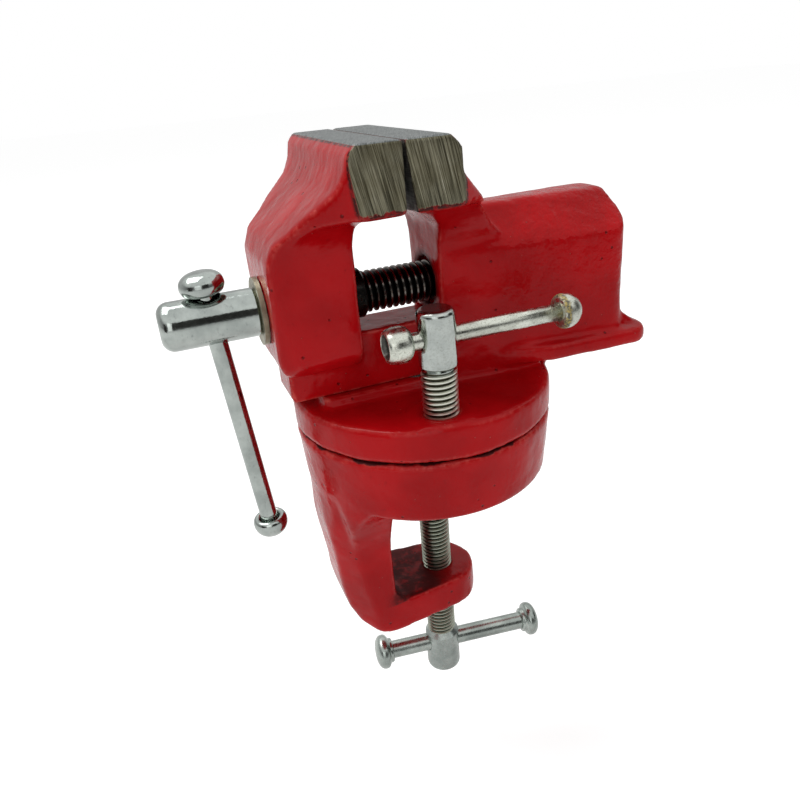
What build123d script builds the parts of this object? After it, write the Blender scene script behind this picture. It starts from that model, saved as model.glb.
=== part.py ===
"""Clamp-on swivel bench vise with 60 mm jaws, in millimetres.

The origin is on the swivel axis at the table seat. The spindle lies along X with its anvil end
at +X, and +Z is up. At rest the jaws are closed and the lock screw stands at the -Y side.
"""

import math
import os

from build123d import *

os.makedirs("parts", exist_ok=True)

# Overall sizes
jaw_width = 60.0
jaw_top_z = 101.0
jaw_band_h = 17.5
disc_d = 79.0
spindle_z = 58.3
jaw_travel = 42.0

# Clearances
body_gap = 0.3
slide_gap = 0.3
journal_clear = 0.05
cross_hole_clear = 0.1
thread_clear = 0.22
thread_flank_clear = 0.11

# Lower disc and its clamp arm
disc_rim_break = 0.4
lower_disc_h = 19.1
lower_disc_edge_r = 1.4
lower_disc_draft = 1.6
arm_half_w = 15.0
arm_inner_x = -19.0
arm_throat_z = -42.6
arm_bottom_z = -54.2
arm_back_outline = [
    (-37.5, -4.0),
    (-37.3, -11.0),
    (-36.0, -23.0),
    (-34.8, -36.6),
    (-33.2, -44.5),
    (-30.5, -49.8),
    (-26.5, -52.8),
    (-20.0, -54.2),
]
arm_flare_half_w = 25.0
arm_flare_z = -26.0
arm_ridge_half_w = 5.0
arm_shoulder_x = -24.5
arm_ridge_x = -34.0
arm_ridge_tilt = 0.18
clamp_x = 1.3
clamp_end_r = 12.5
throat_corner_r = 5.0

# Upper disc and fixed body
upper_disc_h = 10.1
upper_disc_edge_r = 1.3
disc_floor_z = lower_disc_h + body_gap
disc_top_z = disc_floor_z + upper_disc_h
body_front_x = 3.9
body_rear_x = 63.5
body_front_half_w = 11.4
body_rear_half_w = 17.5
body_side_top_z = 67.5
anvil_front_half_w = 4.5
anvil_rear_half_w = 5.5
anvil_z = 79.0
anvil_slope_len = 2.0
anvil_slope_h = 6.0
rear_corner_r = 5.0
flange_front_x = 14.0
flange_rear_x = 71.5
flange_half_w = 20.5
flange_h = 5.2
flange_corner_r = 7.0
flange_lead = 22.0
flange_taper = 1.5
flange_rise = 2.3
flange_step_x = 34.0
flange_break = 1.0
flange_root_h = 4.5
flange_root_len = 7.0
fixed_jaw_rear_x = 3.4
wing_rear_x = 31.0
wing_foot_z = 52.0
fixed_wing_root_z = 69.0
jaw_top_break = 2.9
fixed_jaw_throat_outline = [
    (3.9, 76.0),
    (0.0, 80.5),
]
fixed_jaw_back_outline = [
    (3.7, 92.0),
    (13.0, 83.0),
    (26.0, 68.5),
    (31.0, 62.0),
]

# Jaws
split_x = -10.9
jaw_split_gap = 0.4
jaw_undercut = 2.3
jaw_under_slope = 2.0
moving_jaw_front_x = -24.4
jaw_front_break = 1.8
jaw_front_tilt = 0.14
moving_jaw_outline = [
    (-24.7, 98.6),
    (-25.6, 94.5),
    (-27.8, 90.5),
    (-37.0, 83.0),
    (-42.5, 78.5),
    (-44.6, 73.5),
]
jaw_plan_x = -52.0
jaw_plan_half_w = 14.0
wing_root_half_w = 16.4
wing_root_z = 71.5
wing_lip = 1.2
jaw_under_z = jaw_top_z - jaw_band_h

# Moving jaw block and its slide bar
block_front_x = -44.6
block_rear_x = -21.5
block_bottom_z = 41.5
block_side_chamfer = 4.0
block_toe = 2.8
slide_half_w = 8.0
slide_bed_h = 2.5
slide_bed_half_w = 11.0
slide_bed_front_x = -33.0
slide_bed_tail_h = 3.4
slide_bed_tail_x = 37.5
slide_bottom_z = disc_top_z + slide_bed_h + slide_gap
slide_top_z = 49.0
slide_front_x = -41.6
slide_engaged = 17.0
slide_rear_x = body_front_x + jaw_travel + slide_engaged

# Spindle
spindle_d = 12.0
spindle_pitch = 2.0
spindle_head_d = 13.4
spindle_head_front_x = -72.3
spindle_head_r = 3.4
spindle_bar_x = -58.5
washer_d = 18.8
washer_t = 1.3
collar_d = 14.2
collar_len = 5.2
collar_pin_d = 3.0
collar_pin_sink = 0.3
collar_break = 0.6
nut_front_x = 12.0
nut_len = 18.0
nut_half_w = 8.0
nut_top_z = 66.0
nut_engaged = 8.0
spindle_tip_x = nut_front_x + jaw_travel + nut_engaged
spindle_bore_d = 14.6

# Lock and clamp screws
screw_d = 10.0
screw_pitch = 1.5
lock_head_d = 10.4
clamp_head_d = 12.0
screw_head_len = 17.0
screw_head_taper = 1.6
screw_head_r = 1.6
screw_tip_chamfer = 0.9
lock_rim_inset = 9.35
lock_azimuth = -101.1
lock_head_top_z = 59.6
lock_bar_from_end = 8.0
lock_boss_d = 18.0
lock_boss_h = 0.8
lock_drop = 0.75
lock_pad_d = 7.0
lock_pad_t = 1.6
pad_stem_d = 3.6
pad_stem_len = 3.0
clamp_head_end_z = -89.2
clamp_bar_from_end = 10.8
clamp_pad_top_z = -8.0
clamp_pad_d = 22.0
clamp_pad_t = 6.0
clamp_tip_d = 6.0
clamp_tip_len = 4.0
clamp_pad_edge_r = 1.2

# Bars and knobs
spindle_bar_d = 5.2
spindle_bar_lean = 4.9
spindle_bar_hole_d = 7.0
low_knob_d = 10.4
low_knob_len = 6.4
low_knob_r = 2.4
lock_bar_d = 4.8
lock_knob_d = 9.8
lock_knob_len = 7.0
lock_knob_r = 2.4
clamp_bar_d = 6.2
clamp_knob_d = 12.0
clamp_knob_len = 6.4
clamp_knob_r = 2.6
knob_back_ratio = 0.7
knob_dimple = 0.7
top_knob_d = 12.1
top_knob_len = 6.3
top_knob_r = 2.9
top_knob_seat = 0.5
spindle_bar_span = 78.35
lock_bar_span = 50.3
clamp_bar_span = 56.0
lock_bar_turn = -0.6
lock_bar_low = -10.8
clamp_bar_turn = -8.4
clamp_bar_low = -22.3

# Pivot bolt between the discs
pivot_d = 10.0
pivot_stem_d = 8.0
pivot_stem_depth = 11.0
pivot_head_d = 15.0
pivot_head_h = 3.2
pivot_head_sink = 0.3
pivot_head_clear = 0.5
pivot_washer_d = 15.0
pivot_washer_t = 1.2
pivot_tip_chamfer = 0.8
pivot_slot_w = 2.0
pivot_slot_depth = 1.6
spindle_stub_d = 9.0
spindle_stub_len = 6.5

# Levels and places that follow from the sizes above
lock_reach = disc_d / 2 - lock_rim_inset
lock_x = lock_reach * math.cos(math.radians(lock_azimuth))
lock_y = lock_reach * math.sin(math.radians(lock_azimuth))
clamp_pad_bottom_z = clamp_pad_top_z - clamp_pad_t
clamp_thread_top_z = clamp_pad_bottom_z - body_gap
clamp_head_top_z = clamp_head_end_z + screw_head_len
clamp_thread_z = clamp_head_top_z - 1.5
lock_head_z = lock_head_top_z - screw_head_len
lock_pad_z = lower_disc_h + body_gap + lock_drop
lock_thread_z = lock_pad_z + lock_pad_t + body_gap
channel_top_z = slide_top_z + slide_gap
flange_z = disc_top_z + flange_rise
collar_front_x = block_rear_x + body_gap
collar_rear_x = collar_front_x + collar_len
spindle_thread_x = collar_rear_x - 1.0
washer_rear_x = block_front_x - body_gap
washer_front_x = washer_rear_x - washer_t
top_knob_along = spindle_head_d / 2 + top_knob_seat + top_knob_len / 2
low_knob_along = top_knob_along - spindle_bar_span
lock_bar_z = lock_head_top_z - lock_bar_from_end
clamp_bar_z = clamp_head_end_z + clamp_bar_from_end
pivot_head_z = disc_top_z - pivot_head_sink - pivot_head_h
pivot_washer_z = pivot_head_z - pivot_washer_t
pivot_floor_z = pivot_washer_z - body_gap
collar_mid_x = collar_front_x + collar_len / 2
spindle_plane = Plane(origin=(0, 0, spindle_z), x_dir=(0, 1, 0), z_dir=(1, 0, 0))
spindle_bar_plane = Plane(
    origin=(spindle_bar_x, 0, spindle_z),
    x_dir=(0, 1, 0),
    z_dir=(-math.sin(math.radians(spindle_bar_lean)), 0, math.cos(math.radians(spindle_bar_lean))),
)
lock_bar_plane = Plane(
    origin=(lock_x, lock_y, lock_bar_z),
    x_dir=(0, 0, 1),
    z_dir=(math.cos(math.radians(lock_bar_turn)), math.sin(math.radians(lock_bar_turn)), 0),
)
clamp_bar_plane = Plane(
    origin=(clamp_x, 0, clamp_bar_z),
    x_dir=(0, 0, 1),
    z_dir=(math.cos(math.radians(clamp_bar_turn)), math.sin(math.radians(clamp_bar_turn)), 0),
)

top_knob_shape = (top_knob_d, top_knob_len, top_knob_r, spindle_bar_d)
low_knob_shape = (low_knob_d, low_knob_len, low_knob_r, spindle_bar_d)
lock_knob_shape = (lock_knob_d, lock_knob_len, lock_knob_r, lock_bar_d)
clamp_knob_shape = (clamp_knob_d, clamp_knob_len, clamp_knob_r, clamp_bar_d)

# Thread form
thread_depth_ratio = 0.54
thread_groove_ratio = 0.25
thread_flank_deg = 26.0


def wound_solid(core_r, crest_r, pitch, turns, groove, flank):
    """Threaded rod along +Z from z = 0, closed by helical ends, built one turn at a time."""
    steps = [
        (core_r, 0),
        (core_r, groove),
        (crest_r, groove + flank),
        (crest_r, pitch - flank),
        (core_r, pitch),
    ]
    faces = []
    for turn in range(turns):
        curves = []
        for radius, height in steps:
            curve = Edge.make_helix(pitch, pitch, radius)
            curves.append(curve.moved(Location((0, 0, turn * pitch + height))))
        for lower, upper in zip(curves, curves[1:]):
            faces.append(Face.make_surface_from_curves(lower, upper))
    for turn in (0, turns):
        foot = turn * pitch
        outline = [Vector(0, 0, foot)]
        for radius, height in steps:
            outline.append(Vector(radius, 0, foot + height))
        outline.append(Vector(0, 0, foot + pitch))
        faces.append(Face(Wire.make_polygon(outline, close=True)))
        axis_line = Edge.make_line((0, 0, foot), (0, 0, foot + pitch))
        rim = Edge.make_helix(pitch, pitch, core_r).moved(Location((0, 0, foot)))
        faces.append(Face.make_surface_from_curves(axis_line, rim))
    return Solid(Shell(faces))


def threaded_rod(diameter, pitch, length, end_chamfer):
    """Outside thread along +Z, in phase with z = 0, chamfered at both ends."""
    depth = pitch * thread_depth_ratio
    groove = pitch * thread_groove_ratio
    flank = depth * math.tan(math.radians(thread_flank_deg))
    turns = math.ceil(length / pitch) + 3
    rod = wound_solid(diameter / 2 - depth, diameter / 2, pitch, turns, groove, flank)
    edge_r = diameter / 2 + end_chamfer
    with BuildPart() as trimmed:
        add(rod.moved(Location((0, 0, -2 * pitch))))
        with BuildSketch(Plane.XZ):
            with BuildLine():
                Polyline(
                    (0, 0),
                    (diameter / 2 - end_chamfer, 0),
                    (edge_r, 2 * end_chamfer),
                    (edge_r, length - 2 * end_chamfer),
                    (diameter / 2 - end_chamfer, length),
                    (0, length),
                    close=True,
                )
            make_face()
        revolve(axis=Axis.Z, mode=Mode.INTERSECT)
    return trimmed.part


def tapped_void(diameter, pitch, length):
    """Space for a threaded rod in phase with z = 0, reaching past both ends of the length."""
    depth = pitch * thread_depth_ratio
    groove = pitch * thread_groove_ratio - 2 * thread_flank_clear
    flank = depth * math.tan(math.radians(thread_flank_deg))
    turns = math.ceil(length / pitch) + 3
    core_r = diameter / 2 - depth + thread_clear
    void = wound_solid(core_r, core_r + depth, pitch, turns, groove, flank)
    return void.moved(Location((0, 0, thread_flank_clear - 2 * pitch)))


def steps_back(distance, pitch):
    """Largest whole number of pitches within the distance, as a length."""
    return math.floor(distance / pitch) * pitch


def knob(diameter, length, edge_r, bore_d):
    """Turned bar end along +Z with its outer face up, centred at the origin, bored for the bar."""
    with BuildPart() as body:
        Cylinder(diameter / 2, length)
        fillet(body.faces().sort_by(Axis.Z)[-1].edges(), edge_r)
        fillet(body.faces().sort_by(Axis.Z)[0].edges(), edge_r * knob_back_ratio)
        Cylinder(bore_d / 2, length, mode=Mode.SUBTRACT)
    return body.part


def screw_head(diameter):
    """Round screw head along +Z from its tapered shoulder at z = 0 to its rounded end."""
    with BuildPart() as head:
        Cylinder(diameter / 2, screw_head_len, align=(Align.CENTER, Align.CENTER, Align.MIN))
        fillet(head.faces().sort_by(Axis.Z)[-1].edges(), screw_head_r)
        chamfer(head.faces().sort_by(Axis.Z)[0].edges(), screw_head_taper)
    return head.part


def head_blank():
    """Round spindle head along +Z from its domed front end at z = 0 to the thrust washer."""
    with BuildPart() as head:
        Cylinder(
            spindle_head_d / 2,
            washer_front_x - spindle_head_front_x,
            align=(Align.CENTER, Align.CENTER, Align.MIN),
        )
        fillet(head.faces().sort_by(Axis.Z)[0].edges(), spindle_head_r)
        chamfer(head.faces().sort_by(Axis.Z)[-1].edges(), collar_break)
    return head.part


def cross_bar(plane, diameter, low, low_len, high, high_len):
    """Round bar along the plane's normal between two knobs centred at low and high."""
    start = low - low_len / 2 + knob_dimple
    end = high + high_len / 2 - knob_dimple
    with BuildPart(plane.offset(start)) as rod:
        Cylinder(diameter / 2, end - start, align=(Align.CENTER, Align.CENTER, Align.MIN))
    return rod.part


def bar_end(plane, along, facing, shape):
    """Knob on a bar, centred at the given distance along the plane's normal, facing outwards."""
    turn = 0 if facing > 0 else 180
    return knob(*shape).moved(plane.offset(along).location * Location((0, 0, 0), (turn, 0, 0)))


def clamp_arm():
    """C-shaped arm and lower jaw of the table clamp, flared into the disc and ridged at the back."""
    with BuildPart() as arm:
        with BuildSketch(Plane.XZ):
            with BuildLine():
                Polyline(
                    (-disc_d / 2, lower_disc_h / 2),
                    *arm_back_outline,
                    (clamp_x, arm_bottom_z),
                    (clamp_x + clamp_end_r, arm_bottom_z),
                    (clamp_x + clamp_end_r, arm_throat_z),
                    (arm_inner_x + throat_corner_r, arm_throat_z),
                )
                ThreePointArc(
                    (arm_inner_x + throat_corner_r, arm_throat_z),
                    (arm_inner_x + throat_corner_r * 0.3, arm_throat_z + throat_corner_r * 0.3),
                    (arm_inner_x, arm_throat_z + throat_corner_r),
                )
                Polyline(
                    (arm_inner_x, arm_throat_z + throat_corner_r),
                    (arm_inner_x, lower_disc_h / 2),
                    (-disc_d / 2, lower_disc_h / 2),
                )
            make_face()
        extrude(amount=disc_d / 2, both=True)
        with BuildSketch(Plane.YZ):
            with BuildLine():
                Polyline((0, arm_bottom_z), (arm_half_w, arm_bottom_z), (arm_half_w, arm_flare_z))
                TangentArc((arm_half_w, arm_flare_z), (arm_flare_half_w, 0), tangent=(0, 1))
                Polyline(
                    (arm_flare_half_w, 0),
                    (arm_flare_half_w, lower_disc_h / 2),
                    (0, lower_disc_h / 2),
                    (0, arm_bottom_z),
                )
            make_face()
            mirror(about=Plane.YZ)
        extrude(amount=disc_d, both=True, mode=Mode.INTERSECT)
        with BuildSketch(Plane.XY.offset(arm_bottom_z * 2)):
            with BuildLine():
                Polyline(
                    (clamp_x, -clamp_end_r),
                    (arm_inner_x, -arm_half_w),
                    (arm_inner_x, -disc_d / 2),
                    (-disc_d / 2, -disc_d / 2),
                    (-disc_d / 2, disc_d / 2),
                    (arm_inner_x, disc_d / 2),
                    (arm_inner_x, arm_half_w),
                    (clamp_x, clamp_end_r),
                )
                ThreePointArc((clamp_x, clamp_end_r), (clamp_x + clamp_end_r, 0), (clamp_x, -clamp_end_r))
            make_face()
        extrude(amount=-arm_bottom_z * 3, mode=Mode.INTERSECT)
        with BuildSketch(Plane.XY.offset(arm_bottom_z)):
            Polygon(
                (disc_d, -disc_d / 2),
                (arm_shoulder_x, -disc_d / 2),
                (arm_shoulder_x, -arm_half_w),
                (arm_ridge_x, -arm_ridge_half_w),
                (arm_ridge_x, arm_ridge_half_w),
                (arm_shoulder_x, arm_half_w),
                (arm_shoulder_x, disc_d / 2),
                (disc_d, disc_d / 2),
                align=None,
            )
        extrude(amount=-arm_bottom_z * 2, dir=(-arm_ridge_tilt, 0, 1), mode=Mode.INTERSECT)
        Cylinder(disc_d / 2 - lower_disc_draft, -arm_bottom_z * 3, mode=Mode.INTERSECT)
    return arm.part


def wing_outline(root_half_w, bottom_z, root_z):
    """Half outline across a jaw: narrow block below, arched under the full-width jaw above."""
    arch = jaw_under_z - root_z
    tip_half_w = jaw_width / 2 - wing_lip
    reach = tip_half_w - root_half_w
    middle = math.sqrt(0.5)
    with BuildLine() as outline:
        Polyline((0, bottom_z), (root_half_w, bottom_z), (root_half_w, root_z))
        ThreePointArc(
            (root_half_w, root_z),
            (root_half_w + reach * (1 - middle), root_z + arch * middle),
            (tip_half_w, jaw_under_z),
        )
        Polyline(
            (tip_half_w, jaw_under_z),
            (jaw_width / 2, jaw_under_z),
            (jaw_width / 2, jaw_top_z),
            (0, jaw_top_z),
            (0, bottom_z),
        )
    return outline.line


def moving_jaw_head():
    """Front block of the moving jaw with its sloping full-width jaw."""
    with BuildPart() as head:
        with BuildSketch(Plane.XZ):
            with BuildLine():
                Polyline(
                    (block_rear_x, block_bottom_z),
                    (block_rear_x, jaw_under_z - jaw_under_slope),
                    (block_rear_x + jaw_under_slope, jaw_under_z),
                    (split_x - jaw_split_gap, jaw_under_z),
                    (split_x - jaw_split_gap, jaw_top_z),
                    (moving_jaw_front_x + jaw_front_break, jaw_top_z),
                    *moving_jaw_outline,
                    (block_front_x, block_bottom_z + block_toe),
                    (block_front_x + block_toe, block_bottom_z),
                    close=True,
                )
            make_face()
        extrude(amount=jaw_width / 2, both=True)
        with BuildSketch(Plane.YZ):
            add(make_face(wing_outline(wing_root_half_w, block_bottom_z, wing_root_z).edges()))
            mirror(about=Plane.YZ)
        extrude(amount=disc_d, both=True, mode=Mode.INTERSECT)
        with BuildSketch(Plane.XY.offset(jaw_top_z)):
            Polygon(
                (body_front_x, -jaw_width / 2),
                (body_front_x, jaw_width / 2),
                (moving_jaw_front_x, jaw_width / 2),
                (jaw_plan_x, jaw_plan_half_w),
                (jaw_plan_x, -jaw_plan_half_w),
                (moving_jaw_front_x, -jaw_width / 2),
                align=None,
            )
        extrude(amount=jaw_top_z * 2, dir=(jaw_front_tilt, 0, -1), mode=Mode.INTERSECT)
        chamfer(
            head.edges().filter_by(Axis.X).group_by(Axis.Z)[0],
            block_side_chamfer,
        )
    return head.part


def fixed_jaw_wing():
    """Full-width fixed jaw with its sloping back, down to the top of the body."""
    with BuildPart() as wing:
        with BuildSketch(Plane.XZ):
            with BuildLine():
                Polyline(
                    (body_front_x, wing_foot_z),
                    *fixed_jaw_throat_outline,
                    (split_x + jaw_undercut, jaw_under_z),
                    (split_x, jaw_top_z),
                    (fixed_jaw_rear_x - jaw_top_break, jaw_top_z),
                    (fixed_jaw_rear_x, jaw_top_z - jaw_top_break),
                    *fixed_jaw_back_outline,
                    (wing_rear_x, wing_foot_z),
                    close=True,
                )
            make_face()
        extrude(amount=jaw_width / 2, both=True)
        with BuildSketch(Plane.YZ):
            add(make_face(wing_outline(body_front_half_w, wing_foot_z, fixed_wing_root_z).edges()))
            mirror(about=Plane.YZ)
        extrude(amount=disc_d, both=True, mode=Mode.INTERSECT)
        with BuildSketch(Plane.XY):
            Polygon(
                (split_x, -jaw_width / 2),
                (split_x, jaw_width / 2),
                (fixed_jaw_rear_x, jaw_width / 2),
                (wing_rear_x, body_front_half_w),
                (wing_rear_x, -body_front_half_w),
                (fixed_jaw_rear_x, -jaw_width / 2),
                align=None,
            )
        extrude(amount=jaw_top_z * 2, mode=Mode.INTERSECT)
    return wing.part


def body_block():
    """Body of the vise between the throat and the rear, with the anvil on top."""
    ends = (
        (body_front_x, body_front_half_w, anvil_front_half_w),
        (body_rear_x, body_rear_half_w, anvil_rear_half_w),
    )
    with BuildPart() as block:
        for end_x, half_w, top_half_w in ends:
            ridge_z = anvil_z + top_half_w / (half_w - top_half_w) * (anvil_z - body_side_top_z)
            with BuildSketch(Plane.YZ.offset(end_x)):
                Polygon(
                    (-half_w, 0),
                    (-half_w, body_side_top_z),
                    (0, ridge_z),
                    (half_w, body_side_top_z),
                    (half_w, 0),
                    align=None,
                )
        loft(ruled=True)
        with BuildSketch(Plane.XZ):
            Polygon(
                (body_front_x, disc_floor_z + upper_disc_h / 2),
                (body_front_x, anvil_z),
                (body_rear_x - anvil_slope_len, anvil_z),
                (body_rear_x, anvil_z - anvil_slope_h),
                (body_rear_x, flange_z),
                (flange_step_x, flange_z),
                (flange_step_x, disc_floor_z + upper_disc_h / 2),
                align=None,
            )
        extrude(amount=disc_d / 2, both=True, mode=Mode.INTERSECT)
        fillet(block.edges().filter_by(Axis.Z).group_by(Axis.X)[-1], rear_corner_r)
    return block.part


def rear_flange():
    """Lip along the foot of the body that widens into a flange behind the disc."""
    with BuildPart() as flange:
        with BuildSketch(Plane.XY.offset(flange_z)):
            Polygon(
                (flange_front_x, -body_front_half_w),
                (flange_front_x + flange_lead, -flange_half_w + flange_taper),
                (flange_rear_x, -flange_half_w),
                (flange_rear_x, flange_half_w),
                (flange_front_x + flange_lead, flange_half_w - flange_taper),
                (flange_front_x, body_front_half_w),
                align=None,
            )
        extrude(amount=flange_h)
        fillet(flange.edges().filter_by(Axis.Z).group_by(Axis.X)[-1], flange_corner_r)
        chamfer(flange.faces().sort_by(Axis.Z)[-1].edges(), flange_break)
        flange_top_z = flange_z + flange_h
        with BuildSketch(Plane.XZ):
            Polygon(
                (body_rear_x - rear_corner_r, flange_top_z - flange_break),
                (body_rear_x + flange_root_len, flange_top_z - flange_break),
                (body_rear_x, flange_top_z + flange_root_h),
                (body_rear_x - rear_corner_r, flange_top_z + flange_root_h),
                align=None,
            )
        extrude(amount=body_rear_half_w - rear_corner_r / 2, both=True)
    return flange.part


# Lower disc with the C-shaped table clamp
with BuildPart() as clamp_base:
    Cone(
        disc_d / 2 - lower_disc_draft,
        disc_d / 2,
        lower_disc_h,
        align=(Align.CENTER, Align.CENTER, Align.MIN),
    )
    fillet(clamp_base.faces().sort_by(Axis.Z)[0].edges(), lower_disc_edge_r)
    chamfer(clamp_base.faces().sort_by(Axis.Z)[-1].edges(), disc_rim_break)
    add(clamp_arm())
    with Locations((0, 0, lower_disc_h)):
        Cylinder(
            pivot_stem_d / 2,
            pivot_stem_depth,
            align=(Align.CENTER, Align.CENTER, Align.MAX),
            mode=Mode.SUBTRACT,
        )
    clamp_void = tapped_void(screw_d, screw_pitch, arm_throat_z - arm_bottom_z + 3 * screw_pitch)
    clamp_void_z = clamp_thread_z + steps_back(arm_bottom_z - screw_pitch - clamp_thread_z, screw_pitch)
    add(clamp_void.moved(Location((clamp_x, 0, clamp_void_z))), mode=Mode.SUBTRACT)
clamp_base.part.label = "clamp_base"
export_step(clamp_base.part, "parts/clamp_base.step")

# Upper disc, body, fixed jaw and anvil in one casting
with BuildPart() as fixed_body:
    with Locations((0, 0, disc_floor_z)):
        Cylinder(disc_d / 2, upper_disc_h, align=(Align.CENTER, Align.CENTER, Align.MIN))
    fillet(fixed_body.faces().sort_by(Axis.Z)[-1].edges(), upper_disc_edge_r)
    chamfer(fixed_body.faces().sort_by(Axis.Z)[0].edges(), disc_rim_break)
    with Locations((lock_x, lock_y, disc_top_z)):
        Cylinder(lock_boss_d / 2, lock_boss_h, align=(Align.CENTER, Align.CENTER, Align.MIN))
    with Locations((slide_bed_front_x, 0, disc_floor_z + upper_disc_h / 2)):
        Box(
            slide_bed_tail_x - slide_bed_front_x,
            2 * slide_bed_half_w,
            upper_disc_h / 2 + slide_bed_h,
            align=(Align.MIN, Align.CENTER, Align.MIN),
        )
    with Locations((slide_bed_tail_x, 0, slide_bottom_z - slide_gap)):
        Box(
            body_rear_x - slide_bed_tail_x,
            2 * slide_bed_half_w,
            slide_bed_tail_h,
            align=(Align.MIN, Align.CENTER, Align.MAX),
        )
    add(body_block())
    add(fixed_jaw_wing())
    add(rear_flange())
    with Locations((split_x, 0, slide_bottom_z - slide_gap)):
        Box(
            2 * body_rear_x,
            2 * (slide_half_w + slide_gap),
            channel_top_z - slide_bottom_z + slide_gap,
            align=(Align.MIN, Align.CENTER, Align.MIN),
            mode=Mode.SUBTRACT,
        )
    with Locations((nut_front_x, 0, channel_top_z)):
        Box(
            nut_len,
            2 * nut_half_w,
            nut_top_z - channel_top_z,
            align=(Align.MIN, Align.CENTER, Align.MIN),
            mode=Mode.SUBTRACT,
        )
    with Locations(spindle_plane.offset(body_front_x - 1)):
        Cylinder(
            spindle_bore_d / 2,
            body_rear_x,
            align=(Align.CENTER, Align.CENTER, Align.MIN),
            mode=Mode.SUBTRACT,
        )
    with Locations((0, 0, disc_floor_z)):
        Cylinder(
            pivot_d / 2 + cross_hole_clear,
            upper_disc_h,
            align=(Align.CENTER, Align.CENTER, Align.MIN),
            mode=Mode.SUBTRACT,
        )
    with Locations((0, 0, pivot_floor_z)):
        Cylinder(
            pivot_head_d / 2 + pivot_head_clear,
            upper_disc_h,
            align=(Align.CENTER, Align.CENTER, Align.MIN),
            mode=Mode.SUBTRACT,
        )
    lock_void = tapped_void(screw_d, screw_pitch, upper_disc_h + 3 * screw_pitch)
    lock_void_z = lock_thread_z - screw_pitch * 3
    add(lock_void.moved(Location((lock_x, lock_y, lock_void_z))), mode=Mode.SUBTRACT)
fixed_body.part.label = "fixed_body"
export_step(fixed_body.part, "parts/fixed_body.step")

# Spindle nut, carried in a pocket over the slide bar
with BuildPart() as spindle_nut:
    with Locations((nut_front_x, 0, channel_top_z)):
        Box(
            nut_len,
            2 * nut_half_w,
            nut_top_z - channel_top_z,
            align=(Align.MIN, Align.CENTER, Align.MIN),
        )
    nut_void = tapped_void(spindle_d, spindle_pitch, nut_len + 3 * spindle_pitch)
    nut_void_x = spindle_thread_x + steps_back(nut_front_x - spindle_thread_x, spindle_pitch)
    add(nut_void.moved(spindle_plane.offset(nut_void_x).location), mode=Mode.SUBTRACT)
spindle_nut.part.label = "spindle_nut"
export_step(spindle_nut.part, "parts/spindle_nut.step")

# Shoulder bolt that holds the two discs together and is the swivel's axle
with BuildPart() as pivot_bolt:
    with Locations((0, 0, lower_disc_h)):
        Cylinder(pivot_stem_d / 2, pivot_stem_depth, align=(Align.CENTER, Align.CENTER, Align.MAX))
    chamfer(pivot_bolt.faces().sort_by(Axis.Z)[0].edges(), pivot_tip_chamfer)
    with Locations((0, 0, lower_disc_h)):
        Cylinder(
            pivot_d / 2,
            pivot_head_z - lower_disc_h,
            align=(Align.CENTER, Align.CENTER, Align.MIN),
        )
    with Locations((0, 0, pivot_head_z)):
        Cylinder(pivot_head_d / 2, pivot_head_h, align=(Align.CENTER, Align.CENTER, Align.MIN))
    with Locations((0, 0, pivot_head_z + pivot_head_h)):
        Box(
            pivot_head_d,
            pivot_slot_w,
            pivot_slot_depth,
            align=(Align.CENTER, Align.CENTER, Align.MAX),
            mode=Mode.SUBTRACT,
        )
pivot_bolt.part.label = "pivot_bolt"
export_step(pivot_bolt.part, "parts/pivot_bolt.step")

# Washer under the head of the pivot bolt
with BuildPart() as pivot_washer:
    with Locations((0, 0, pivot_washer_z)):
        Cylinder(pivot_washer_d / 2, pivot_washer_t, align=(Align.CENTER, Align.CENTER, Align.MIN))
        Cylinder(
            pivot_d / 2,
            pivot_washer_t,
            align=(Align.CENTER, Align.CENTER, Align.MIN),
            mode=Mode.SUBTRACT,
        )
pivot_washer.part.label = "pivot_washer"
export_step(pivot_washer.part, "parts/pivot_washer.step")

# Moving jaw with its slide bar
with BuildPart() as moving_jaw:
    add(moving_jaw_head())
    with Locations((slide_front_x, 0, slide_bottom_z)):
        Box(
            slide_rear_x - slide_front_x,
            2 * slide_half_w,
            slide_top_z - slide_bottom_z,
            align=(Align.MIN, Align.CENTER, Align.MIN),
        )
    with Locations(spindle_plane.offset(block_front_x - 1)):
        Cylinder(
            spindle_d / 2 + journal_clear,
            block_rear_x - block_front_x + 2,
            align=(Align.CENTER, Align.CENTER, Align.MIN),
            mode=Mode.SUBTRACT,
        )
moving_jaw.part.label = "moving_jaw"
export_step(moving_jaw.part, "parts/moving_jaw.step")

# Spindle screw: stub for the head, plain journal through the moving jaw, and thread
with BuildPart() as spindle_screw:
    spindle_thread = threaded_rod(spindle_d, spindle_pitch, spindle_tip_x - spindle_thread_x, screw_tip_chamfer)
    add(spindle_thread.moved(spindle_plane.offset(spindle_thread_x).location))
    with Locations(spindle_plane.offset(washer_front_x)):
        Cylinder(
            spindle_d / 2,
            collar_rear_x - washer_front_x,
            align=(Align.CENTER, Align.CENTER, Align.MIN),
        )
        Cylinder(
            spindle_stub_d / 2,
            spindle_stub_len,
            align=(Align.CENTER, Align.CENTER, Align.MAX),
        )
    with Locations(Plane.XZ * Location((collar_mid_x, spindle_z, 0))):
        Cylinder(collar_pin_d / 2, spindle_head_d * 2, mode=Mode.SUBTRACT)
spindle_screw.part.label = "spindle_screw"
export_step(spindle_screw.part, "parts/spindle_screw.step")

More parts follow.
